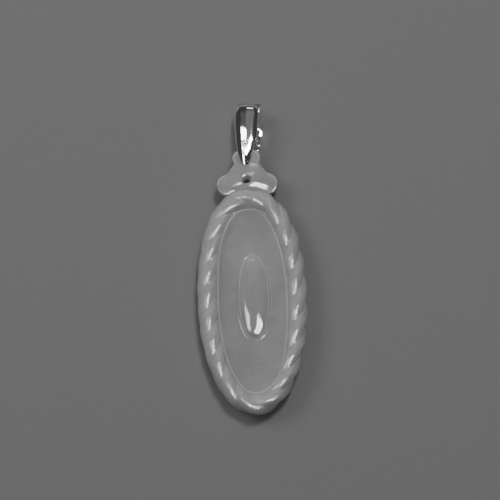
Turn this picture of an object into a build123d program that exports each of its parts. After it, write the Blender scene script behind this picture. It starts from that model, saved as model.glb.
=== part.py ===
"""A carved jade pendant with a twisted rope border and a swinging silver bail.

The stone lies on its flat back, with its long axis along Y and the bail at +Y.
The origin is on that back, in the middle of the oval. Sizes are in millimetres.
"""

from build123d import *
from math import acos, asin, atan2, cos, degrees, radians, sin, tan
import os

# Oval body
oval_width = 17.0
oval_length = 35.1
stone_thickness = 4.8
side_border = 3.1
end_border = 3.3
recess_depth = 1.6
ledge_height = 0.4

# Twisted rope border
rope_width = 3.5
back_ground_off = 0.4
rope_turns = 7
rope_strands = 3
strand_relief = 0.27
rope_start = 21
sections_per_turn = 12

# Raised cabochon on a low step
cabochon_width = 4.5
cabochon_length = 12.6
cabochon_end_radius = 1.7
cabochon_height = 1.3
cabochon_step = 0.4
cabochon_step_height = 0.3
cabochon_shift_x = 0.2
cabochon_shift_y = 0.5

# Finial, with its rises measured from the top of the oval
finial_shift = -0.17
finial_middle = 2.55
finial_thickness = 3.4
shoulder_radius = 1.45
shoulder_spread = 3.1
shoulder_rise = 0.4
shoulder_sweep = 190
crown_radius = 1.1
crown_spread = 0.96
crown_rise = 4.55
crown_start = -50
finial_corner = 0.25
finial_edge = 0.2
cord_hole_diameter = 1.5
cord_hole_rise = 1.05
web_thickness = 1.5

# Hinge pin through the neck
pin_diameter = 0.6
pin_rise = 3.95
pin_clearance = 0.05
pin_reach = 1.2

# Silver bail, measured from the pin
bail_length = 9.1
bail_depth = 4.3
bail_wall = 0.5
bail_top_width = 3.65
bail_middle_width = 2.5
bail_middle = 3.0
bail_tip_width = 0.85
bail_tip_reach = 0.5
bail_splay = 7.5
bail_swell = 2.6
bail_turn = 6.0
bail_roll = 8.5
bail_edge = 0.12
panel_start = 3.45
panel_length = 1.95
panel_height = 0.2
panel_overhang = 0.22
grain_diameter = 0.55
grain_places = [1.55, 2.15, 2.95]

# Places worked out from the sizes
rope_depth = stone_thickness + back_ground_off
rope_middle = stone_thickness - rope_depth / 2
line_radius_x = (oval_width - rope_width) / 2
line_radius_y = (oval_length - rope_width) / 2
plate_top = stone_thickness - recess_depth
oval_top = oval_length / 2
finial_rise = crown_rise + crown_radius
finial_plane = Plane((finial_shift, oval_top, finial_middle))
pin_point = Vector(finial_shift, oval_top + pin_rise, finial_middle)

os.makedirs("parts", exist_ok=True)


def draw_oval(half_width, half_length, end_radius):
    """Draw an oval of four arcs that meet smoothly, with its middle at the origin."""
    end_centre = half_length - end_radius
    side_radius = (half_width**2 + end_centre**2 - end_radius**2) / (2 * (half_width - end_radius))
    lean = atan2(end_centre, side_radius - half_width)
    meet_x = half_width - side_radius + side_radius * cos(lean)
    meet_y = side_radius * sin(lean)
    ThreePointArc((meet_x, -meet_y), (half_width, 0), (meet_x, meet_y))
    ThreePointArc((meet_x, meet_y), (0, half_length), (-meet_x, meet_y))
    ThreePointArc((-meet_x, meet_y), (-half_width, 0), (-meet_x, -meet_y))
    ThreePointArc((-meet_x, -meet_y), (0, -half_length), (meet_x, -meet_y))


# Finial: a lobed head that thins to a neck. Each row is a place along its rise
# and how thick it is there, as shares of its rise and of its thickness.
finial_profile = [
    (-0.20, 0.55),
    (-0.05, 0.82),
    (0.18, 1.00),
    (0.39, 0.86),
    (0.57, 0.52),
    (0.78, 0.45),
    (1.05, 0.43),
]
with BuildPart() as finial:
    with BuildSketch(finial_plane) as finial_outline:
        with BuildLine():
            Line((0, shoulder_rise - shoulder_radius), (shoulder_spread, shoulder_rise - shoulder_radius))
            shoulder = CenterArc((shoulder_spread, shoulder_rise), shoulder_radius, -90, shoulder_sweep)
            crown_end = degrees(acos(-crown_spread / crown_radius))
            crown = CenterArc((crown_spread, crown_rise), crown_radius, crown_start,
                              crown_end - crown_start)
            Line(shoulder @ 1, crown @ 0)
            mirror(about=Plane.YZ)
        make_face()
        inner_corners = [corner for corner in finial_outline.vertices() if corner.Y > shoulder_rise]
        fillet(inner_corners, radius=finial_corner)
    extrude(amount=finial_thickness / 2, both=True)
    finial_side = Plane(finial_plane.origin, x_dir=(0, 1, 0), z_dir=(1, 0, 0))
    with BuildSketch(finial_side):
        with BuildLine():
            top_points = [(rise * finial_rise, share * finial_thickness / 2)
                          for rise, share in finial_profile]
            top_line = Spline(*top_points)
            Line(top_line @ 1, ((top_line @ 1).X, 0))
            Line(top_line @ 0, ((top_line @ 0).X, 0))
            mirror(about=Plane.XZ)
        make_face()
    extrude(amount=shoulder_spread + 2 * shoulder_radius, both=True, mode=Mode.INTERSECT)
    rims = [edge for edge in finial.edges() if abs(edge.tangent_at(0.5).Z) < cos(radians(45))]
    fillet(rims, radius=finial_edge)
    with BuildSketch(Plane.XY.offset(finial_middle + web_thickness / 2)):
        Ellipse(oval_width / 2, oval_length / 2)
    extrude(amount=finial_thickness, mode=Mode.SUBTRACT)

# Cabochon: each row is a height and how wide the dome is there, as shares of its own sizes
dome_profile = [
    (0.00, 1.00),
    (0.45, 0.96),
    (0.75, 0.80),
    (0.93, 0.52),
    (1.00, 0.20),
]
with BuildPart() as cabochon:
    step_plane = Plane((cabochon_shift_x, cabochon_shift_y, plate_top))
    with BuildSketch(step_plane):
        with BuildLine():
            draw_oval(cabochon_width / 2 + cabochon_step, cabochon_length / 2 + cabochon_step,
                      cabochon_end_radius + cabochon_step)
        make_face()
    extrude(amount=cabochon_step_height)
    for height_share, width_share in dome_profile:
        with BuildSketch(step_plane.offset(cabochon_step_height + cabochon_height * height_share)):
            with BuildLine():
                draw_oval(cabochon_width / 2 * width_share,
                          cabochon_length / 2 - cabochon_width / 2 * (1 - width_share),
                          cabochon_end_radius * width_share)
            make_face()
    loft()

# Jade: the rope is lofted turn by turn through sections with one lobe for each strand
with BuildLine() as rope_line:
    EllipticalCenterArc((0, 0), line_radius_x, line_radius_y, start_angle=rope_start, arc_size=360)
rope_path = rope_line.edge()

with BuildPart() as jade:
    for turn in range(rope_turns):
        for step in range(sections_per_turn + 1):
            place = (turn + step / sections_per_turn) / rope_turns
            along = rope_path % place
            outward = along.cross(Vector(0, 0, 1))
            centre = rope_path @ place + Vector(0, 0, rope_middle)
            twist = -360 * step / sections_per_turn
            with BuildSketch(Plane(centre, x_dir=outward, z_dir=-along)):
                with BuildLine():
                    for strand in range(rope_strands):
                        crest = twist + 360 * strand / rope_strands
                        lobe = []
                        for angle, sunk in [(-180, strand_relief), (0, 0), (180, strand_relief)]:
                            reach = 1 - sunk / (rope_width / 2)
                            turned = radians(crest + angle / rope_strands)
                            lobe.append((rope_width / 2 * reach * cos(turned),
                                         rope_depth / 2 * reach * sin(turned)))
                        ThreePointArc(*lobe)
                make_face()
        loft(clean=False)
    with BuildSketch(Plane.XY.offset(-back_ground_off)):
        Ellipse(line_radius_x, line_radius_y)
    extrude(amount=back_ground_off + plate_top + ledge_height, clean=False)
    split(bisect_by=Plane.XY, keep=Keep.TOP)
    with BuildSketch(Plane.XY.offset(plate_top)):
        Ellipse(oval_width / 2 - side_border, oval_length / 2 - end_border)
    extrude(amount=stone_thickness, mode=Mode.SUBTRACT, clean=False)
    add(cabochon.part, clean=False)
    add(finial.part, clean=False)
    with BuildSketch(finial_plane.offset(-finial_thickness)):
        with Locations((0, cord_hole_rise)):
            Circle(cord_hole_diameter / 2)
        with Locations((0, pin_rise)):
            Circle(pin_diameter / 2 + pin_clearance)
    extrude(amount=2 * finial_thickness, mode=Mode.SUBTRACT, clean=False)

jade.part.label = "jade"
export_step(jade.part, "parts/jade.step")

# Bail: a strip bent into a long loop, trimmed to tapering leaves, on its own rolled plane
bail_plane = Plane(Location(pin_point, (0, 0, -bail_turn)) * Location((0, 0, 0), (0, -bail_roll, 0)))
bail_side = Plane(bail_plane.origin, x_dir=bail_plane.y_dir, z_dir=bail_plane.x_dir)
bail_top = bail_length - bail_tip_reach
bend_radius = (bail_depth - bail_wall) / 2
bend_centre = bail_top - bail_depth / 2
swell_radius = bail_swell / sin(radians(bail_splay))
leaf_end = bend_centre - bail_swell
leaf_end_height = bend_radius - swell_radius * (1 - cos(radians(bail_splay)))
tip_height = leaf_end_height - (leaf_end + bail_tip_reach) * tan(radians(bail_splay))

with BuildLine() as leaf_side:
    ThreePointArc((bail_tip_width / 2, -bail_tip_reach), (bail_middle_width / 2, bail_middle),
                  (bail_top_width / 2, bail_top))


def leaf_height(place):
    """Height of a leaf's middle line above the bail's own plane."""
    if place < leaf_end:
        return tip_height + (place + bail_tip_reach) * tan(radians(bail_splay))
    lean = asin((bend_centre - place) / swell_radius)
    return bend_radius - swell_radius * (1 - cos(lean))


def leaf_half_width(place):
    """Half the width of a leaf at a place along the bail."""
    level = Axis((0, place, 0), (1, 0, 0))
    return leaf_side.edge().find_intersection_points(level)[0].X


panel_middle = panel_start + panel_length / 2
grain_points = []
for grain_place in grain_places:
    for grain_side in (-1, 1):
        grain_point = (grain_side * leaf_half_width(grain_place), grain_place,
                       -leaf_height(grain_place) - bail_wall / 2)
        grain_points.append(bail_plane.from_local_coords(grain_point))

with BuildPart() as bail:
    with BuildSketch(bail_side):
        with BuildLine():
            leaf = Line((-bail_tip_reach, tip_height), (leaf_end, leaf_end_height))
            swell = TangentArc(leaf @ 1, (bend_centre, bend_radius), tangent=leaf % 1)
            TangentArc(swell @ 1, (bend_centre + bend_radius, 0), tangent=swell % 1)
            mirror(about=Plane.XZ)
        trace(line_width=bail_wall)
    extrude(amount=bail_top_width, both=True)
    with BuildSketch(bail_plane.offset(-bail_depth)):
        with BuildLine():
            add(leaf_side.line)
            Line(leaf_side.line @ 0, (0, -bail_tip_reach))
            Line(leaf_side.line @ 1, (0, bail_top))
            mirror(about=Plane.YZ)
        make_face()
    extrude(amount=2 * bail_depth, mode=Mode.INTERSECT)
    long_edges = [edge for edge in bail.edges() if edge.length > bail_wall * 1.5]
    fillet(long_edges, radius=bail_edge)
    with BuildSketch(bail_side):
        with Locations((panel_middle, -leaf_height(panel_middle))):
            Rectangle(panel_length, bail_wall + 2 * panel_height, rotation=-bail_splay / 2)
    extrude(amount=leaf_half_width(panel_middle) + panel_overhang, both=True)
    with Locations(*grain_points):
        Sphere(grain_diameter / 2)
    with BuildSketch(Plane(pin_point - Vector(0, 0, pin_reach))):
        Circle(pin_diameter / 2)
    extrude(amount=2 * pin_reach)

bail.part.label = "bail"
export_step(bail.part, "parts/bail.step")
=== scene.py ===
"""A carved jade pendant with a twisted rope border, dressed over its CAD frame.

Shapes are made in millimetres, in the frame's own axes, and turned to metres when
a piece is finished. The stone lies on its flat back with the bail at +Y.
"""

from math import acos, atan2, cos, exp, pi, radians, sin, sqrt, tan

import bmesh
import bpy
from mathutils import Matrix, Vector, noise
from mathutils.kdtree import KDTree


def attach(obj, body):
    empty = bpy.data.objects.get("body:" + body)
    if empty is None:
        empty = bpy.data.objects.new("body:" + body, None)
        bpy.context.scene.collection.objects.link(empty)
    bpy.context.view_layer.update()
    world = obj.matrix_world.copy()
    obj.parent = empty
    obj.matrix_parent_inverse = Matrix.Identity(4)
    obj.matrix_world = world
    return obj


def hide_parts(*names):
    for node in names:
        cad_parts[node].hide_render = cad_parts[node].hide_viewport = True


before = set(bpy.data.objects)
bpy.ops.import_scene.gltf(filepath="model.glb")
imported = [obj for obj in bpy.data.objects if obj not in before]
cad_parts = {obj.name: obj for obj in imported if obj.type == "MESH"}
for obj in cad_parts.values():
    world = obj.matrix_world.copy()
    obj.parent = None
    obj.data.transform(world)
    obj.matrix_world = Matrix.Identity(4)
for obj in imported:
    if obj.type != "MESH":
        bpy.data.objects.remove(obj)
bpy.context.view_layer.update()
metre = 0.001

# Camera, light and floor, in metres and degrees
camera_target = Vector((-0.12, 7.8, 3.0)) * metre
camera_elevation = 84
camera_distance = 0.300
camera_lean = 2.1
picture_width = 0.0768
sensor_width = 36
light_middle = Vector((0, 5, 3)) * metre
floor_half_width = 0.6

# Tones of the room that the polish mirrors, from level with the stone to straight above it
room_tones = [(0.0, 0.42), (0.12, 0.36), (0.24, 0.16), (0.38, 0.055), (0.78, 0.055), (0.89, 0.15),
              (0.965, 0.20)]

# Oval stone
oval_width = 17.0
oval_length = 35.1
oval_top = oval_length / 2
side_border = 3.1
end_border = 3.3
plate_top = 3.2
ledge_height = 0.4
stone_sides = 240

# Recess inside the border: its top corners are fuller, and the left one most
recess_half_width = oval_width / 2 - side_border
recess_half_length = oval_length / 2 - end_border
recess_corner = 0.28
recess_bulge = 2.05
recess_top_bulge = 2.12
recess_top_left_bulge = 2.5

# Twisted rope border
rope_width = 3.5
rope_depth = 5.2
rope_middle = 2.2
rope_lobes = 3
rope_rings = 320
rope_sides = 168
strand_count = 20
strand_unevenness = 0.063
strand_ridges = 5
ridge_depth = 0.014
top_relief = 0.33
side_relief = 0.40
right_side_extra = 0.6
line_radius_x = 6.75
line_radius_y = 15.8
line_top_bulge = 2.2

# Cabochon in the middle of the plate
cabochon_shift = (0.2, 0.5)
cabochon_half_width = 2.25
cabochon_half_length = 6.3
cabochon_bulge = 2.35

# Finial. Its lobes are arcs, and their middles are measured from the top of the oval
finial_shift = -0.17
finial_middle = 2.55
finial_half_thickness = 1.7
finial_rise = 5.65
finial_foot = -1.4
shoulder = (3.1, 0.4)
shoulder_radius = 1.62
crown = (0.98, 4.55)
crown_radius = 1.20
crown_start_angle = radians(-42)
finial_voxel = 0.10

# Cord hole, with an opening that slants towards the bail
cord_hole = (finial_shift - 0.06, 18.30)
cord_hole_slant = (-0.07, 0.34)

# Bail, measured from its pin
pin_point = Vector((-0.17, 21.5, 2.55))
pin_radius = 0.3
bail_turn = 6.0
bail_roll = 8.5
bail_sway = -0.2
leaf_start = -0.5
leaf_end = 4.8
tip_half_width = 0.45
edge_band = 0.55
splay = radians(7.5)
bend_radius = 1.97
bend_fullness = 3.6
bend_centre = 6.86
bend_end = 8.7
bend_slimming = 0.42
ridge_rise = 0.25
near_lean = 4
tip_twist_left = 4
tip_twist_right = 22
panel_middle = 4.425
panel_half_length = 0.975
panel_half_depth = 0.45
wing_half_sizes = (0.55, 0.86, 0.20)
wing_reach = 1.50
grain_radius = 0.29
grain_places = (1.60, 2.20, 3.00)


# Shares and slopes that several shapes use

def clamped(value):
    """A value held between 0 and 1."""
    return min(1, max(0, value))


def hump(off, width):
    """A smooth hump: 1 in its middle, and almost nothing two widths off."""
    return exp(-(off / width) ** 2)


def eased(rows, place):
    """A value from rows of places and values, eased from one row to the next."""
    for (low, low_value), (high, high_value) in zip(rows, rows[1:]):
        if place <= high:
            part = clamped((place - low) / (high - low))
            part = part * part * (3 - 2 * part)
            return low_value + (high_value - low_value) * part
    return rows[-1][1]


# Camera, floor and light

def aim(thing, place, target, lean=0.0):
    """Put a camera or light at a place, facing a target, with the picture's top leaned about the view."""
    forward = (Vector(target) - Vector(place)).normalized()
    top = Vector((sin(radians(lean)), cos(radians(lean)), 0))
    right = forward.cross(top).normalized()
    top = right.cross(forward)
    turned = Matrix((right, top, -forward)).transposed().to_4x4()
    thing.matrix_world = Matrix.Translation(place) @ turned


def add_camera():
    """Look down on the pendant from a little below it, as the photograph does."""
    camera = bpy.data.objects.new("camera", bpy.data.cameras.new("camera"))
    bpy.context.collection.objects.link(camera)
    height = radians(camera_elevation)
    camera.data.sensor_width = sensor_width
    camera.data.lens = sensor_width * camera_distance / picture_width
    camera.data.clip_start = 0.01
    back = camera_distance * Vector((0, -cos(height), sin(height)))
    aim(camera, camera_target + back, camera_target, lean=camera_lean)
    bpy.context.scene.camera = camera


def add_softbox(name, toward, distance, width, length, power, turned=0, shines=True, mirrored=True):
    """Hang a softbox in a direction from the stone. It may only shine, or only show in the polish."""
    data = bpy.data.lights.new(name, "AREA")
    data.shape = "RECTANGLE"
    data.size = width
    data.size_y = length
    data.energy = power
    lamp = bpy.data.objects.new(name, data)
    bpy.context.collection.objects.link(lamp)
    aim(lamp, light_middle + distance * Vector(toward).normalized(), light_middle, lean=turned)
    lamp.visible_camera = False
    lamp.visible_diffuse = shines
    lamp.visible_glossy = mirrored


def hang_softboxes():
    """Three softboxes only show in the polish, and three only shine."""
    add_softbox("right softbox", (0.31, -0.42, 0.84), 0.55, 0.35, 0.34, 8.8, turned=18, shines=False)
    add_softbox("left softbox", (-0.48, -0.22, 0.85), 0.55, 0.20, 0.24, 1.7, turned=18, shines=False)
    add_softbox("back softbox", (0.03, 0.73, 0.68), 0.55, 0.12, 0.08, 0.11, shines=False)
    add_softbox("main softbox", (0.17, 0.42, 0.89), 0.60, 0.10, 0.10, 1.05, mirrored=False)
    add_softbox("fill softbox", (-0.62, 0.36, 0.70), 0.60, 0.25, 0.25, 0.78, mirrored=False)
    add_softbox("sky softbox", (0.0, 0.30, 0.95), 0.90, 1.2, 1.2, 1.4, mirrored=False)


def add_floor(material):
    """Lay a plain pale sheet under everything."""
    shape = bmesh.new()
    bmesh.ops.create_grid(shape, x_segments=1, y_segments=1, size=floor_half_width)
    mesh = bpy.data.meshes.new("floor")
    shape.to_mesh(mesh)
    shape.free()
    floor = bpy.data.objects.new("floor", mesh)
    bpy.context.collection.objects.link(floor)
    mesh.materials.append(material)


def light_studio():
    """What the polish mirrors besides the softboxes: a dark room with a pale horizon."""
    world = bpy.data.worlds.new("studio")
    bpy.context.scene.world = world
    world.use_nodes = True
    tree = world.node_tree
    background = tree.nodes["Background"]
    at = Value(tree)
    direction = at.node("ShaderNodeTexCoord", output="Generated")
    height = at.node("ShaderNodeSeparateXYZ", inputs={0: direction}, output="Z")
    stops = [(place, (grey, grey, grey)) for place, grey in room_tones]
    tone = at.node("ShaderNodeValToRGB", {"stops": stops}, {0: height})
    tree.links.new(tone.socket, background.inputs["Color"])
    background.inputs["Strength"].default_value = 0.9
    world.cycles_visibility.diffuse = False


# Materials

class Value:
    """A value in a material's nodes. Working on it adds Math nodes, and node() adds any other."""

    def __init__(self, tree, socket=None):
        self.tree = tree
        self.socket = socket

    def node(self, kind, settings=None, inputs=None, output=0):
        """Add a node, with its settings set before the values or links of its sockets."""
        added = self.tree.nodes.new(kind)
        for name, setting in (settings or {}).items():
            if name == "stops":
                stops = added.color_ramp.elements
                while len(stops) < len(setting):
                    stops.new(0.5)
                for stop, (place, colour) in zip(stops, setting):
                    stop.position = place
                    stop.color = (*colour, 1.0)
            else:
                setattr(added, name, setting)
        for name, given in (inputs or {}).items():
            if isinstance(given, Value):
                self.tree.links.new(given.socket, added.inputs[name])
            else:
                added.inputs[name].default_value = given
        return Value(self.tree, added.outputs[output])

    def maths(self, operation, first, second):
        return self.node("ShaderNodeMath", {"operation": operation}, {0: first, 1: second})

    def __add__(self, other):
        return self.maths("ADD", self, other)

    def __radd__(self, other):
        return self.maths("ADD", other, self)

    def __sub__(self, other):
        return self.maths("SUBTRACT", self, other)

    def __rsub__(self, other):
        return self.maths("SUBTRACT", other, self)

    def __mul__(self, other):
        return self.maths("MULTIPLY", self, other)

    def __rmul__(self, other):
        return self.maths("MULTIPLY", other, self)


def start_material(name):
    """A new material with its shader and a first value to build on."""
    material = bpy.data.materials.new(name)
    material.use_nodes = True
    tree = material.node_tree
    shader = next(node for node in tree.nodes if node.type == "BSDF_PRINCIPLED")
    return material, shader, Value(tree)


def polished_jade():
    """Icy stone: cloudy and a little clear, with a hard bright polish over it, and paler, rougher places
    that partly paint light.
    """
    material, shader, at = start_material("polished jade")
    place = at.node("ShaderNodeTexCoord", output="Object")
    cloud = at.node("ShaderNodeTexNoise", inputs={
        "Vector": place, "Scale": 210.0, "Detail": 4.0, "Roughness": 0.55, "Distortion": 0.6})
    grain = at.node("ShaderNodeTexNoise", inputs={
        "Vector": place, "Scale": 1900.0, "Detail": 3.0, "Roughness": 0.6})
    depth = cloud * 0.75 + grain * 0.25
    colour = at.node("ShaderNodeValToRGB", {"stops": [
        (0.30, (0.40, 0.405, 0.396)),
        (0.50, (0.465, 0.469, 0.46)),
        (0.70, (0.55, 0.553, 0.544)),
    ]}, {0: depth})
    # This attribute is partly real frosting and partly painted light. Where it is high the stone is
    # rougher and less coated, and its colour is paler. The paler colour paints highlights on the line
    # round the plate and on rims, and lightens steep sides against their shade.
    frost = at.node("ShaderNodeAttribute", {"attribute_name": "frost"}, output="Fac")
    paler = at.node("ShaderNodeMix", {"data_type": "RGBA"}, {
        0: frost * 0.5, 6: colour, 7: (0.80, 0.80, 0.79, 1.0)}, output=2)
    at.tree.links.new(paler.socket, shader.inputs["Base Color"])
    rough = 0.11 + frost * 0.2
    at.tree.links.new(rough.socket, shader.inputs["Roughness"])
    polish = at.maths("MAXIMUM", 1.0 - frost * 1.4, 0.05)
    at.tree.links.new(polish.socket, shader.inputs["Coat Weight"])
    tool_marks = at.node("ShaderNodeTexNoise", inputs={
        "Vector": place, "Scale": 2600.0, "Detail": 2.0, "Roughness": 0.5})
    waves = at.node("ShaderNodeTexNoise", inputs={
        "Vector": place, "Scale": 620.0, "Detail": 1.0, "Roughness": 0.4})
    bump = at.node("ShaderNodeBump", inputs={
        "Strength": 0.12, "Distance": 0.00006, "Height": tool_marks * 0.3 + waves})
    at.tree.links.new(bump.socket, shader.inputs["Normal"])
    shader.inputs["IOR"].default_value = 1.6
    shader.inputs["Subsurface Weight"].default_value = 0.9
    shader.inputs["Subsurface Radius"].default_value = (1.0, 1.0, 1.0)
    shader.inputs["Subsurface Scale"].default_value = 0.005
    shader.inputs["Specular IOR Level"].default_value = 0.2
    shader.inputs["Coat Roughness"].default_value = 0.05
    shader.inputs["Coat IOR"].default_value = 1.6
    shader.inputs["Sheen Weight"].default_value = 0.15
    shader.inputs["Sheen Roughness"].default_value = 0.4
    return material


def polished_silver():
    """White silver, worn bright, with fine scratches and a slightly uneven skin."""
    material, shader, at = start_material("polished silver")
    place = at.node("ShaderNodeTexCoord", output="Object")
    patch = at.node("ShaderNodeTexNoise", inputs={
        "Vector": place, "Scale": 900.0, "Detail": 3.0, "Roughness": 0.6})
    stretched = at.node("ShaderNodeMapping", inputs={
        "Vector": place, "Rotation": (0.0, 0.0, radians(8)), "Scale": (7000.0, 700.0, 2500.0)})
    scratch = at.node("ShaderNodeTexNoise", inputs={
        "Vector": stretched, "Scale": 1.0, "Detail": 3.0, "Roughness": 0.6})
    colour = at.node("ShaderNodeValToRGB", {"stops": [
        (0.30, (0.78, 0.78, 0.77)),
        (0.65, (0.90, 0.90, 0.89)),
    ]}, {0: patch})
    at.tree.links.new(colour.socket, shader.inputs["Base Color"])
    rough = 0.02 + patch * 0.06 + scratch * 0.03
    at.tree.links.new(rough.socket, shader.inputs["Roughness"])
    bump = at.node("ShaderNodeBump", inputs={
        "Strength": 0.25, "Distance": 0.00004, "Height": patch + scratch * 0.3})
    at.tree.links.new(bump.socket, shader.inputs["Normal"])
    shader.inputs["Metallic"].default_value = 1.0
    return material


def pale_sheet():
    """Matt pale grey paper."""
    material, shader, at = start_material("pale sheet")
    place = at.node("ShaderNodeTexCoord", output="Object")
    fibre = at.node("ShaderNodeTexNoise", inputs={"Vector": place, "Scale": 900.0, "Detail": 2.0})
    colour = at.node("ShaderNodeValToRGB", {"stops": [
        (0.3, (0.279, 0.279, 0.279)),
        (0.7, (0.287, 0.287, 0.287)),
    ]}, {0: fibre})
    at.tree.links.new(colour.socket, shader.inputs["Base Color"])
    shader.inputs["Roughness"].default_value = 0.9
    shader.inputs["Specular IOR Level"].default_value = 0.1
    return material


# Making solids ring by ring

def start_ring(shape, count):
    """A closed ring of edges. Each vertex remembers its angle round the ring."""
    bmesh.ops.create_circle(shape, cap_ends=False, segments=count, radius=1)
    angle_of = shape.verts.layers.float.new("angle")
    for vert in shape.verts:
        vert[angle_of] = atan2(vert.co.y, vert.co.x)
    return list(shape.edges), list(shape.verts), angle_of


def next_ring(shape, ring):
    """Extrude a ring of edges into another, still in the same place, and return it."""
    made = bmesh.ops.extrude_edge_only(shape, edges=ring)["geom"]
    verts = [item for item in made if isinstance(item, bmesh.types.BMVert)]
    fresh = set(verts)
    edges = [item for item in made if isinstance(item, bmesh.types.BMEdge)
             and item.verts[0] in fresh and item.verts[1] in fresh]
    return edges, verts


def rings_to_solid(shape, count, rings):
    """Skin a stack of rings and close both ends. A ring is a function of an angle that gives a point."""
    edges, verts, angle_of = start_ring(shape, count)
    first_edges = edges
    for number, ring in enumerate(rings):
        if number:
            edges, verts = next_ring(shape, edges)
        for vert in verts:
            vert.co = ring(vert[angle_of])
    bmesh.ops.holes_fill(shape, edges=first_edges, sides=0)
    bmesh.ops.holes_fill(shape, edges=edges, sides=0)
    shape.verts.layers.float.remove(angle_of)
    bmesh.ops.remove_doubles(shape, verts=shape.verts, dist=0.0005)
    bmesh.ops.recalc_face_normals(shape, faces=shape.faces)


def blank(name, shape):
    """Turn a bmesh into an object in millimetres, to be joined or cut."""
    mesh = bpy.data.meshes.new(name)
    shape.to_mesh(mesh)
    shape.free()
    made = bpy.data.objects.new(name, mesh)
    bpy.context.collection.objects.link(made)
    return made


def settle(piece):
    """Keep what a piece's modifiers make, and drop the modifiers."""
    graph = bpy.context.evaluated_depsgraph_get()
    mesh = bpy.data.meshes.new_from_object(piece.evaluated_get(graph))
    piece.modifiers.clear()
    piece.data = mesh


def work(piece, tool, operation):
    """Join a tool's solid to a piece or cut it out, and put the tool away."""
    step = piece.modifiers.new("step", "BOOLEAN")
    step.operation = operation
    step.solver = "MANIFOLD"
    step.object = tool
    settle(piece)
    bpy.data.objects.remove(tool)


def finish_piece(piece, name, material, edge_angle):
    """Name a made piece, turn it to metres, shade it smooth up to an angle and give it its material."""
    shape = bmesh.new()
    shape.from_mesh(piece.data)
    bmesh.ops.scale(shape, vec=(metre, metre, metre), verts=shape.verts)
    shape.to_mesh(piece.data)
    shape.free()
    piece.name = name
    piece.data.name = name
    piece.data.shade_smooth()
    piece.data.set_sharp_from_angle(angle=radians(edge_angle))
    piece.data.materials.clear()
    piece.data.materials.append(material)


# Jade

def oval(half_width, half_length, height, bulge=2.0, top=None, top_left=None, shift=(0, 0)):
    """An oval ring; bulge 2 is an ellipse, and more makes its corners fuller, or only its top ones."""
    def point(angle):
        power = 2 / bulge
        if top and sin(angle) > 0:
            power = 2 / (top_left if top_left and cos(angle) < 0 else top)
        across = abs(cos(angle)) ** power * (1 if cos(angle) > 0 else -1)
        along = abs(sin(angle)) ** power * (1 if sin(angle) > 0 else -1)
        return Vector((half_width * across + shift[0], half_length * along + shift[1], height))
    return point


def rope_places(count):
    """Points and headings round the rope's middle line, equal lengths apart, from its right side."""
    line = oval(line_radius_x, line_radius_y, rope_middle, top=line_top_bulge)
    fine = 4000
    points = [line(2 * pi * step / fine) for step in range(fine + 1)]
    run = [0.0]
    for here, there in zip(points, points[1:]):
        run.append(run[-1] + (there - here).length)
    places = []
    step = 0
    for number in range(count):
        wanted = run[-1] * number / count
        while run[step + 1] < wanted:
            step += 1
        share = (wanted - run[step]) / (run[step + 1] - run[step])
        before = points[(step - 12) % fine]
        after = points[(step + 13) % fine]
        places.append((points[step].lerp(points[step + 1], share), (after - before).normalized()))
    return places


def strand_share(angle):
    """How far off its strand's crest an angle of the section lies: 0 on the crest, 1 in a groove."""
    lobe = 2 * pi / rope_lobes
    return abs((angle + lobe / 2) % lobe - lobe / 2) / (lobe / 2)


def strand_reach(share, relief, ridge):
    """How far the rope's unit section reaches: a lobe for each strand, with fine ridges."""
    sunk = relief / (rope_width / 2)
    crest = 0.35 * (sqrt(share ** 2 + 0.004) - sqrt(0.004))
    reach = 1 - sunk * (crest + 0.45 * share ** 2 + 0.25 * share ** 6)
    return reach - ridge * (0.5 - 0.5 * cos(strand_ridges * pi * share)) * (1 - share ** 6)


def wind_rope():
    """The whole rope border as one closed ring of twisted strands, a little wider apart on the right.

    With it comes where each of its points lies, and how far off its strand's crest.
    """
    shape = bmesh.new()
    points = []
    shares = []
    places = rope_places(rope_rings)
    edges, verts, angle_of = start_ring(shape, rope_sides)
    first_edges = edges
    up = Vector((0, 0, 1))
    for number, (centre, along) in enumerate(places):
        if number:
            edges, verts = next_ring(shape, edges)
        run = number / len(places)
        laid = strand_count * (run - strand_unevenness / (2 * pi) * sin(2 * pi * run))
        turn = 2 * pi * (0.5 - laid) / rope_lobes
        outward = along.cross(up)
        for vert in verts:
            angle = vert[angle_of]
            outer_relief = side_relief * (1 + right_side_extra * outward.x)
            relief = top_relief + (outer_relief - top_relief) * max(0, cos(angle)) ** 2
            lay = angle - turn
            spot = Vector((2.2 * cos(lay), 2.2 * sin(lay), centre.y * 0.35))
            ridge = ridge_depth + 0.010 * noise.noise(spot)
            share = strand_share(lay)
            reach = strand_reach(share, relief, ridge)
            place = (centre + outward * (rope_width / 2 * reach * cos(angle))
                     + up * (rope_depth / 2 * reach * sin(angle)))
            uneven = 0.014 * noise.noise(place * 1.1) + 0.007 * noise.noise(place * 2.3)
            vert.co = centre + (place - centre) * (1 + uneven / (place - centre).length)
            points.append(vert.co.copy())
            shares.append(share)
    bmesh.ops.bridge_loops(shape, edges=first_edges + edges)
    shape.verts.layers.float.remove(angle_of)
    bmesh.ops.recalc_face_normals(shape, faces=shape.faces)
    nearest = KDTree(len(points))
    for number, point in enumerate(points):
        nearest.insert(point, number)
    nearest.balance()
    return blank("rope", shape), nearest, shares


def between(outer, inner, share):
    """A ring part of the way from one ring to another."""
    return lambda angle: outer(angle).lerp(inner(angle), share)


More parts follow.
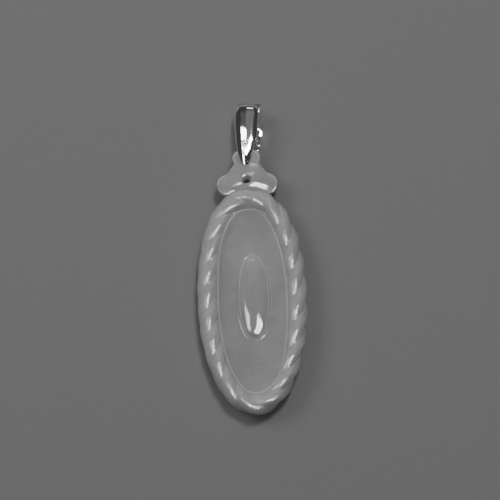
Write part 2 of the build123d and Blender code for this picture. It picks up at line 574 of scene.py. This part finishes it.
def cast_core():
    """The solid middle of the stone: up to the ledge under the rope, and higher under the cabochon."""
    shape = bmesh.new()
    ledge_top = plate_top + ledge_height
    block_half_width = 4.6
    block_half_length = 13.0
    rings_to_solid(shape, stone_sides, [
        oval(line_radius_x, line_radius_y, -0.6),
        oval(line_radius_x, line_radius_y, ledge_top),
        oval(block_half_width, block_half_length, ledge_top),
        oval(block_half_width, block_half_length, plate_top + 2.0)])
    return blank("core", shape)


def recess_swell(angle):
    """How much further out the recess is carved at its lower right."""
    off = (angle + radians(50) + pi) % (2 * pi) - pi
    return 0.42 * hump(off, radians(22))


def recess_ring(inward, height):
    """A ring along the rope's inner edge, an even distance inside it."""
    half_width = recess_half_width - inward
    half_length = recess_half_length - inward
    ring = oval(half_width, half_length, height, bulge=recess_bulge, top=recess_top_bulge,
                top_left=recess_top_left_bulge)

    def point(angle):
        outward = Vector((cos(angle) / half_width, sin(angle) / half_length, 0)).normalized()
        return ring(angle) + recess_swell(angle) * outward
    return point


def recess_tool():
    """What is carved away inside the rope: its floor is the plate with the cabochon standing on it."""
    shape = bmesh.new()
    rings = [recess_ring(0.0, 9.0), recess_ring(0.0, plate_top + recess_corner)]
    for step in range(1, 7):
        lean = radians(90 * step / 6)
        inward = recess_corner * (1 - cos(lean))
        rings.append(recess_ring(inward, plate_top + recess_corner * (1 - sin(lean))))
    plate_edge = recess_ring(recess_corner + 0.05, plate_top)
    field_edge = cabochon_ring(1.0, 0.0, low_end=0.35)
    rings.append(plate_edge)
    for share in (0.12, 0.3, 0.5, 0.7, 0.88, 1.0):
        rings.append(between(plate_edge, field_edge, share))
    for outset, rise, low_end in field_profile:
        rings.append(cabochon_ring(outset, rise, low_end))
    for share, rise in dome_profile:
        rings.append(dome_ring(share, rise))
    rings_to_solid(shape, stone_sides, rings)
    return blank("recess", shape)


# Round the cabochon the plate sinks a little, and then a low step rises. Each row is how far
# outside the rim, how high above the plate, and how much further out at the lower end.
field_profile = [
    (0.85, -0.004, 0.24), (0.70, -0.020, 0.16), (0.56, -0.035, 0.06), (0.47, -0.03, 0.0),
    (0.45, 0.04, 0.0), (0.44, 0.09, 0.0), (0.42, 0.12, 0.0), (0.39, 0.135, 0.0), (0.30, 0.14, 0.0),
    (0.18, 0.130, 0.0), (0.08, 0.110, 0.0), (0.03, 0.11, 0.0), (0.01, 0.16, 0.0)]

# The cabochon's side and dome, as a share of its size and a height above the plate
dome_profile = [(1.0, 0.24), (0.993, 0.36), (0.983, 0.47), (0.972, 0.56), (0.962, 0.62)]
dome_profile += [(0.962 * cos(radians(step * 4.5)) ** 0.85, 0.62 + 0.84 * sin(radians(step * 4.5)))
                 for step in range(1, 21)]


def cabochon_ring(outset, rise, low_end=0.0):
    """A ring round the cabochon, an even distance outside its rim but for the lower end."""
    ring = oval(cabochon_half_width + outset, cabochon_half_length + outset, plate_top + rise,
                bulge=cabochon_bulge, shift=cabochon_shift)

    def point(angle):
        place = ring(angle)
        lower = max(0, -sin(angle))
        place.y -= low_end * lower ** 3
        if rise < 0:
            place.z = plate_top + rise * lower
        return place
    return point


def dome_ring(share, rise):
    """A ring of the dome, from its rim to its top."""
    return oval(cabochon_half_width * share, cabochon_half_length * share, plate_top + rise,
                bulge=cabochon_bulge - 0.35 * (1 - share), shift=cabochon_shift)


def finial_share(place):
    """How thick the finial is at a place, as a share of its full thickness."""
    with_rise = eased([(0.15, 1.00), (0.80, 0.39)], (place.y - oval_top) / finial_rise)
    beyond = (place.y - oval_top + 0.08 * place.x ** 2) * cos(atan2(0.16 * place.x, 1))
    with_valley = eased([(-1.6, 0.35), (-0.7, 0.56), (-0.35, 0.74), (-0.05, 0.86), (0.25, 0.915),
                         (0.6, 0.96), (1.1, 0.99), (1.6, 1.0)], beyond)
    off = place.x - finial_shift - 0.4
    with_crown = 1 - (0.28 if off > 0 else 0.38) * (1 - hump(off, 2.6))
    return min(with_rise, with_valley) * with_crown


def spin_arc(shape, start, middle, angle, steps):
    """Spin a vertex about a middle into an arc of edges, and give back the arc's last vertex."""
    made = bmesh.ops.spin(shape, geom=[start], cent=(*middle, 0), axis=(0, 0, 1), dvec=(0, 0, 0),
                          angle=angle, steps=steps, use_duplicate=False, use_merge=False)
    return next(item for item in made["geom_last"] if isinstance(item, bmesh.types.BMVert))


def outline_finial():
    """The finial's outline, of its right half and the same one mirrored, filled with one face."""
    shape = bmesh.new()
    start = shape.verts.new((0, finial_foot, 0))
    corner = shape.verts.new((shoulder[0], shoulder[1] - shoulder_radius, 0))
    shape.edges.new((start, corner))
    shoulder_end = spin_arc(shape, corner, shoulder, radians(178), 36)
    crown_start = shape.verts.new((crown[0] + crown_radius * cos(crown_start_angle),
                                   crown[1] + crown_radius * sin(crown_start_angle), 0))
    shape.edges.new((shoulder_end, crown_start))
    spin_arc(shape, crown_start, crown, acos(-crown[0] / crown_radius) - crown_start_angle, 28)
    bmesh.ops.mirror(shape, geom=shape.verts[:] + shape.edges[:], matrix=Matrix.Identity(4),
                     merge_dist=0.01, axis="X")
    bmesh.ops.remove_doubles(shape, verts=shape.verts, dist=0.01)
    face = bmesh.ops.contextual_create(shape, geom=shape.edges)["faces"][0]
    return shape, face


def carve_finial():
    """The lobed head: two shoulders, a neck and two small crown lobes, all softly rounded."""
    shape, face = outline_finial()
    bmesh.ops.translate(shape, vec=(0, 0, -finial_half_thickness), verts=shape.verts)
    made = bmesh.ops.extrude_face_region(shape, geom=[face])["geom"]
    bmesh.ops.translate(shape, vec=(0, 0, 2 * finial_half_thickness),
                        verts=[item for item in made if isinstance(item, bmesh.types.BMVert)])
    bmesh.ops.recalc_face_normals(shape, faces=shape.faces)
    finial = blank("finial", shape)
    remesh = finial.modifiers.new("remesh", "REMESH")
    remesh.mode = "VOXEL"
    remesh.voxel_size = finial_voxel
    soften = finial.modifiers.new("soften", "SMOOTH")
    soften.factor = 0.5
    soften.iterations = 14
    settle(finial)
    shape = bmesh.new()
    shape.from_mesh(finial.data)
    bmesh.ops.translate(shape, vec=(finial_shift, oval_top, 0), verts=shape.verts)
    for vert in shape.verts:
        vert.co.z *= finial_share(vert.co)
    for repeat in range(8):
        bmesh.ops.smooth_vert(shape, verts=shape.verts, factor=0.5, use_axis_x=True, use_axis_y=True,
                              use_axis_z=True)
    bmesh.ops.translate(shape, vec=(0, 0, finial_middle), verts=shape.verts)
    bmesh.ops.recalc_face_normals(shape, faces=shape.faces)
    shape.to_mesh(finial.data)
    shape.free()
    return finial


def drill(place, rows, opening=(0, 0)):
    """A drilled hole's solid from rows of radius, height and share of the way to its opening's shift."""
    shape = bmesh.new()
    rings_to_solid(shape, 48, [oval(radius, radius, height, shift=Vector(place) + Vector(opening) * share)
                               for radius, height, share in rows])
    return blank("drill", shape)


# The cord hole narrows from a dished opening on top, and the pin's hole is plain
cord_hole_rows = [
    (0.80, -2.0, 0.0), (0.80, 0.86, 0.0), (0.64, 0.95, 0.0), (0.54, 1.15, 0.0), (0.50, 2.4, 0.0),
    (0.50, 2.9, 0.15), (0.53, 3.4, 0.5), (0.56, 3.75, 0.9), (0.59, 3.84, 1.0), (0.66, 3.88, 1.0),
    (0.74, 3.915, 1.0), (0.82, 3.95, 1.0), (0.86, 3.975, 1.0), (0.88, 4.00, 1.0), (0.885, 7.0, 1.0)]
pin_hole_rows = [
    (0.42, -1.0, 0.0), (0.42, 1.78, 0.0), (0.36, 1.84, 0.0), (0.35, 1.95, 0.0), (0.35, 3.15, 0.0),
    (0.36, 3.26, 0.0), (0.42, 3.32, 0.0), (0.42, 6.0, 0.0)]


def oval_gap(place, half_width, half_length, bulge, shift=(0, 0)):
    """Roughly how far outside an oval a place lies, or inside it where that is negative."""
    across = abs(place.x - shift[0]) / half_width
    along = abs(place.y - shift[1]) / half_length
    share = max(0.001, (across ** bulge + along ** bulge) ** (1 / bulge))
    slope = sqrt((across / half_width) ** 2 + (along / half_length) ** 2) / share
    return (share - 1) / max(0.01, slope)


def lobe_edge(place):
    """How far inside the edge of the finial's nearest lobe a place lies, measured along its round part."""
    nearest = 9.0
    softened = 0.04
    lobes = ((*shoulder, shoulder_radius - softened, 0), (*crown, crown_radius - softened, 51))
    for reach, rise, radius, facing in lobes:
        off = Vector((abs(place.x - finial_shift) - reach, place.y - oval_top - rise))
        if off.x * cos(radians(facing)) + off.y * sin(radians(facing)) > -0.05:
            nearest = min(nearest, abs(radius - off.length))
    return nearest


def strand_frost_and_painted_light(share):
    """How frosted a strand is: polished on its crest, and a little along a line on each side. Its frosted
    flanks are also paler, which partly paints the light the rope catches.
    """
    off_crest = clamped((share - 0.04) / 0.12)
    off_line = clamped((abs(share - 0.45) - 0.02) / 0.06)
    return 0.12 + 0.38 * min(off_crest, 0.5 + 0.5 * off_line)


def frost_and_painted_light_at(place, upright, nearest, shares):
    """How frosted the stone is at a place, partly from how far its surface there faces up or down, and how
    much light is painted there as paler colour.
    """
    # Steep sides are rougher, and paler: the paler colour is painted light against the shade on them
    value = 0.6 * clamped((0.70 - abs(upright)) / 0.5)
    bulge = recess_bulge
    if place.y > 0:
        bulge = recess_top_bulge if place.x > 0 else recess_top_left_bulge
    swell = recess_swell(atan2(place.y / recess_half_length, place.x / recess_half_width))
    inward = swell - oval_gap(place, recess_half_width, recess_half_length, bulge)
    # Strands of the rope, outside the recess: frosted flanks, rougher and paler, the paler colour partly
    # painted light
    if inward < 0:
        strand = strand_frost_and_painted_light(shares[nearest.find(place)[1]])
        value = max(value, strand * min(1, -2 * inward) * clamped((17.6 - place.y) / 0.8))
    # A painted highlight line along the fillet round the plate, at the foot of the rope: paler, rougher
    # and with little coat
    if abs(place.z - plate_top) < 0.5 and -0.1 < inward < 0.6:
        value = max(value, 2.0 * hump(inward - 0.13, 0.09))
    # Painted highlight lines along the rims of the finial's lobes
    if upright > 0.2 and place.y > oval_top - 1.2 + 0.08 * place.x ** 2:
        value = max(value, 1.1 * hump(lobe_edge(place) - 0.20, 0.12))
    # Painted highlight lines on the cabochon's rim, and on the edge of the step on its right
    rim = oval_gap(place, cabochon_half_width, cabochon_half_length, cabochon_bulge, cabochon_shift)
    if place.z > plate_top + 0.05:
        value = max(value, 1.3 * hump(rim + 0.03, 0.08))
        if place.x > 0:
            value = max(value, 0.9 * hump(rim - 0.42, 0.07))
    return value


def note_frost_and_painted_light(jade, nearest, shares):
    """Note on each vertex how frosted the stone is, and how much light is painted there as paler colour:
    on its rope, its steep sides, the line round the plate and the rims.
    """
    mesh = jade.data
    frost = mesh.attributes.new("frost", "FLOAT", "POINT")
    for number, vertex in enumerate(mesh.vertices):
        frost.data[number].value = frost_and_painted_light_at(vertex.co, vertex.normal.z, nearest, shares)


def carve_jade(material):
    """Join the rope, core and finial, carve the recess and drill the holes: one stone."""
    jade, nearest, shares = wind_rope()
    work(jade, cast_core(), "UNION")
    work(jade, carve_finial(), "UNION")
    work(jade, recess_tool(), "DIFFERENCE")
    work(jade, drill(cord_hole, cord_hole_rows, opening=cord_hole_slant), "DIFFERENCE")
    work(jade, drill(pin_point.xy, pin_hole_rows), "DIFFERENCE")
    below = bmesh.new()
    bmesh.ops.create_cube(below, size=60)
    bmesh.ops.translate(below, vec=(0, 0, -30), verts=below.verts)
    work(jade, blank("bench", below), "DIFFERENCE")
    note_frost_and_painted_light(jade, nearest, shares)
    finish_piece(jade, "carved_jade", material, edge_angle=38)
    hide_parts("jade")
    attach(jade, "stone")


# Bail

bail_place = (Matrix.Translation(pin_point) @ Matrix.Rotation(radians(-bail_turn), 4, "Z")
              @ Matrix.Rotation(radians(-bail_roll), 4, "Y"))

# Each leaf is straight up to its end, and then swells into the bend
swell_radius = (bend_centre - leaf_end) / sin(splay)
leaf_end_height = bend_radius - swell_radius * (1 - cos(splay))
tip_height = leaf_end_height - (leaf_end - leaf_start) * tan(splay)


def leaf_height(place):
    """How far the near leaf is above the pin at a place along the bail, and the far leaf below it."""
    return tip_height + (place - leaf_start) * tan(splay)


def strip_line():
    """Points and headings of the bail's bent strip, from the near tip over the bend to the far tip."""
    half = []
    for step in range(22):
        place = leaf_start + (leaf_end - leaf_start) * (step / 21)
        half.append((place, leaf_height(place), splay))
    for step in range(1, 11):
        lean = splay * (1 - step / 10)
        half.append((bend_centre - swell_radius * sin(lean),
                     bend_radius - swell_radius * (1 - cos(lean)), lean))
    for step in range(1, 25):
        lean = radians(90 * step / 24)
        half.append((bend_centre + bend_radius * sin(lean) ** (2 / bend_fullness),
                     bend_radius * max(0, cos(lean)) ** (2 / bend_fullness),
                     -atan2(sin(lean) ** (2 - 2 / bend_fullness), cos(lean) ** (2 - 2 / bend_fullness))))
    back = [(place, -height, pi - heading) for place, height, heading in half[-2::-1]]
    return half + [(place, height, -heading) for place, height, heading in back]


def leaf_half_width(place):
    """Half the width of a leaf at a place along the bail: it bows out from its tip to the bend."""
    place = min(bend_end, max(leaf_start, place))
    run = place - leaf_start
    bowed = tip_half_width + 0.2486 * run - 0.01675 * run * (place - 3.0)
    return bowed - 0.05 * max(0, place - 6.8) ** 2


def near_leaf_sides(place):
    """Half width and edge band of the near leaf, left and right: its left side is the fuller one."""
    half_width = leaf_half_width(place)
    fade = clamped((8.3 - place) / 2)
    left = (half_width + 0.35 * hump(place - 3.4, 2.3), edge_band + 0.25 * fade)
    right = (half_width + 0.22 * hump(place - 0.9, 1.3), edge_band + 0.13 * fade)
    return left, right


def far_half_width(place):
    """The far leaf is a little wider than the near one towards its tip."""
    return leaf_half_width(place) + 0.22 * clamped((6.5 - place) / 4)


# Half of the strip's section. Each row is its share across the ridged middle, its share across
# the band along the edge, and a height that grows with the middle's width or stays as it is.
strip_rows = [
    (0.0, 0.0, 0.0, 0.0), (0.03, 0.0, -0.002, 0.0), (0.10, 0.0, -0.012, 0.0), (0.25, 0.0, -0.037, 0.0),
    (0.45, 0.0, -0.070, 0.0), (0.75, 0.0, -0.120, 0.0), (1.0, 0.0, -0.168, 0.0),
    (1.0, 0.15, -0.168, -0.045), (1.0, 0.30, -0.168, -0.092), (1.0, 0.50, -0.168, -0.158),
    (1.0, 0.70, -0.168, -0.226), (1.0, 0.80, -0.168, -0.262), (1.0, 0.89, -0.168, -0.305),
    (1.0, 0.96, -0.168, -0.355), (1.0, 1.0, -0.168, -0.42), (1.0, 0.98, -0.15, -0.49),
    (1.0, 0.88, -0.15, -0.51), (0.6, 0.0, -0.10, -0.52), (0.2, 0.0, -0.10, -0.52)]


def strip_section():
    """The whole section's outline, from the ridge over the right side and back up the left."""
    left = [(-middle, -band, grows, stays) for middle, band, grows, stays in strip_rows[:0:-1]]
    return strip_rows + left


def rounded_bar(half_sizes, edge):
    """A small bar with eased edges, its middle at the origin."""
    shape = bmesh.new()
    bmesh.ops.create_cube(shape, size=1)
    bmesh.ops.scale(shape, vec=[2 * size for size in half_sizes], verts=shape.verts)
    bmesh.ops.bevel(shape, geom=shape.edges, offset=edge, segments=3, profile=0.5, affect="EDGES",
                    material=-1)
    return shape


def start_strip(shape):
    """The strip's first section. Its vertices keep their row of numbers, as the next ones will."""
    names = ("middle", "band", "grows", "stays")
    for name in names:
        shape.verts.layers.float.new(name)
    layers = [shape.verts.layers.float[name] for name in names]
    verts = []
    for row in strip_section():
        vert = shape.verts.new((row[0] + row[1], 0, row[2] + row[3]))
        for layer, number in zip(layers, row):
            vert[layer] = number
        verts.append(vert)
    edges = [shape.edges.new((here, there)) for here, there in zip(verts, verts[1:] + verts[:1])]
    return edges, verts, names, layers


def bend_strip():
    """The silver strip, ridged along its middle, from the near tip over the bend to the far tip.

    Towards its tip the near leaf is twisted, more on its right side, and past the bend the far
    leaf is slimmer, so that it shows as a thin edge.
    """
    shape = bmesh.new()
    edges, verts, names, layers = start_strip(shape)
    first_edges = edges
    line = strip_line()
    halfway = len(line) / 2
    for number, (place, level, heading) in enumerate(line):
        if number:
            edges, verts = next_ring(shape, edges)
        slimmer = bend_slimming * clamped((number - halfway) / 14) * clamped((place - 5.2) / 0.5)
        sides = [(far_half_width(place) - slimmer, edge_band)] * 2
        lean = near_lean * max(0, 1 - number / (len(line) * 0.45))
        sway = bail_sway
        tip = 0.0
        if number < halfway:
            sides = near_leaf_sides(place)
            sway += 0.27 * hump(place - 3.7, 1.8) + 0.12 * max(0, 1.2 - place)
            tip = clamped((1.6 - place) / 0.8)
        thick = min(1, leaf_half_width(place) / 1.1)
        for vert in verts:
            middle, band, grows, stays = [vert[layer] for layer in layers]
            half_width, edge = sides[1] if middle > 0 else sides[0]
            flat = half_width - min(edge, 0.8 * half_width)
            across = flat * middle + (half_width - flat) * band
            slope = tan(radians(lean + tip * (tip_twist_right if middle > 0 else tip_twist_left)))
            steep = 1.15 if middle > 0 and number < len(line) / 3 else 1.0
            lift = ridge_rise + grows * min(flat, 0.95) + stays * thick * steep - slope * across
            vert.co = Vector((across + sway, place - lift * sin(heading), level + lift * cos(heading)))
    bmesh.ops.holes_fill(shape, edges=first_edges, sides=0)
    bmesh.ops.holes_fill(shape, edges=edges, sides=0)
    for name in names:
        shape.verts.layers.float.remove(shape.verts.layers.float[name])
    bmesh.ops.recalc_face_normals(shape, faces=shape.faces)
    bmesh.ops.transform(shape, matrix=bail_place, verts=shape.verts)
    return blank("bail strip", shape)


def add_panel(bail):
    """Solder the raised panel and its two low wings on the far leaf."""
    level = leaf_height(panel_middle)
    panel_half_width = far_half_width(panel_middle) - 0.05
    panel = rounded_bar((panel_half_width, panel_half_length, panel_half_depth), 0.08)
    bmesh.ops.transform(panel, matrix=bail_place @ Matrix.Translation((bail_sway, panel_middle, -level))
                        @ Matrix.Rotation(-splay / 2, 4, "X"), verts=panel.verts)
    work(bail, blank("panel", panel), "UNION")
    for side in (-1, 1):
        wing = rounded_bar(wing_half_sizes, 0.06)
        middle = Vector((side * wing_reach + bail_sway, panel_middle + 0.90, 0.05 - level))
        bmesh.ops.transform(wing, matrix=bail_place @ Matrix.Translation(middle)
                            @ Matrix.Rotation(radians(side * 18), 4, "Y")
                            @ Matrix.Rotation(radians(9), 4, "X"), verts=wing.verts)
        work(bail, blank("wing", wing), "UNION")


def add_grains(bail):
    """Solder a row of small round grains along each edge of the far leaf."""
    for place in grain_places:
        for side in (-1, 1):
            grain = bmesh.new()
            bmesh.ops.create_uvsphere(grain, u_segments=20, v_segments=12, radius=grain_radius)
            reach = far_half_width(place) + (0.16 if side > 0 else -0.2)
            middle = Vector((side * reach + bail_sway, place, -leaf_height(place) - 0.12))
            bmesh.ops.transform(grain, matrix=bail_place @ Matrix.Translation(middle), verts=grain.verts)
            work(bail, blank("grain", grain), "UNION")


def add_pin(bail):
    """Solder in the pin that goes through the neck of the stone."""
    pin = bmesh.new()
    rows = [(0.22, -1.2), (pin_radius, -1.12), (pin_radius, 1.12), (0.22, 1.2)]
    rings_to_solid(pin, 32, [oval(radius, radius, height) for radius, height in rows])
    bmesh.ops.translate(pin, vec=pin_point, verts=pin.verts)
    work(bail, blank("pin", pin), "UNION")


def bend_bail(material):
    """The bent strip with its panel, grains and pin: one soldered piece."""
    bail = bend_strip()
    add_panel(bail)
    add_grains(bail)
    add_pin(bail)
    finish_piece(bail, "silver_bail", material, edge_angle=28)
    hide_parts("bail")
    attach(bail, "bail")


add_camera()
add_floor(pale_sheet())
light_studio()
hang_softboxes()
carve_jade(polished_jade())
bend_bail(polished_silver())
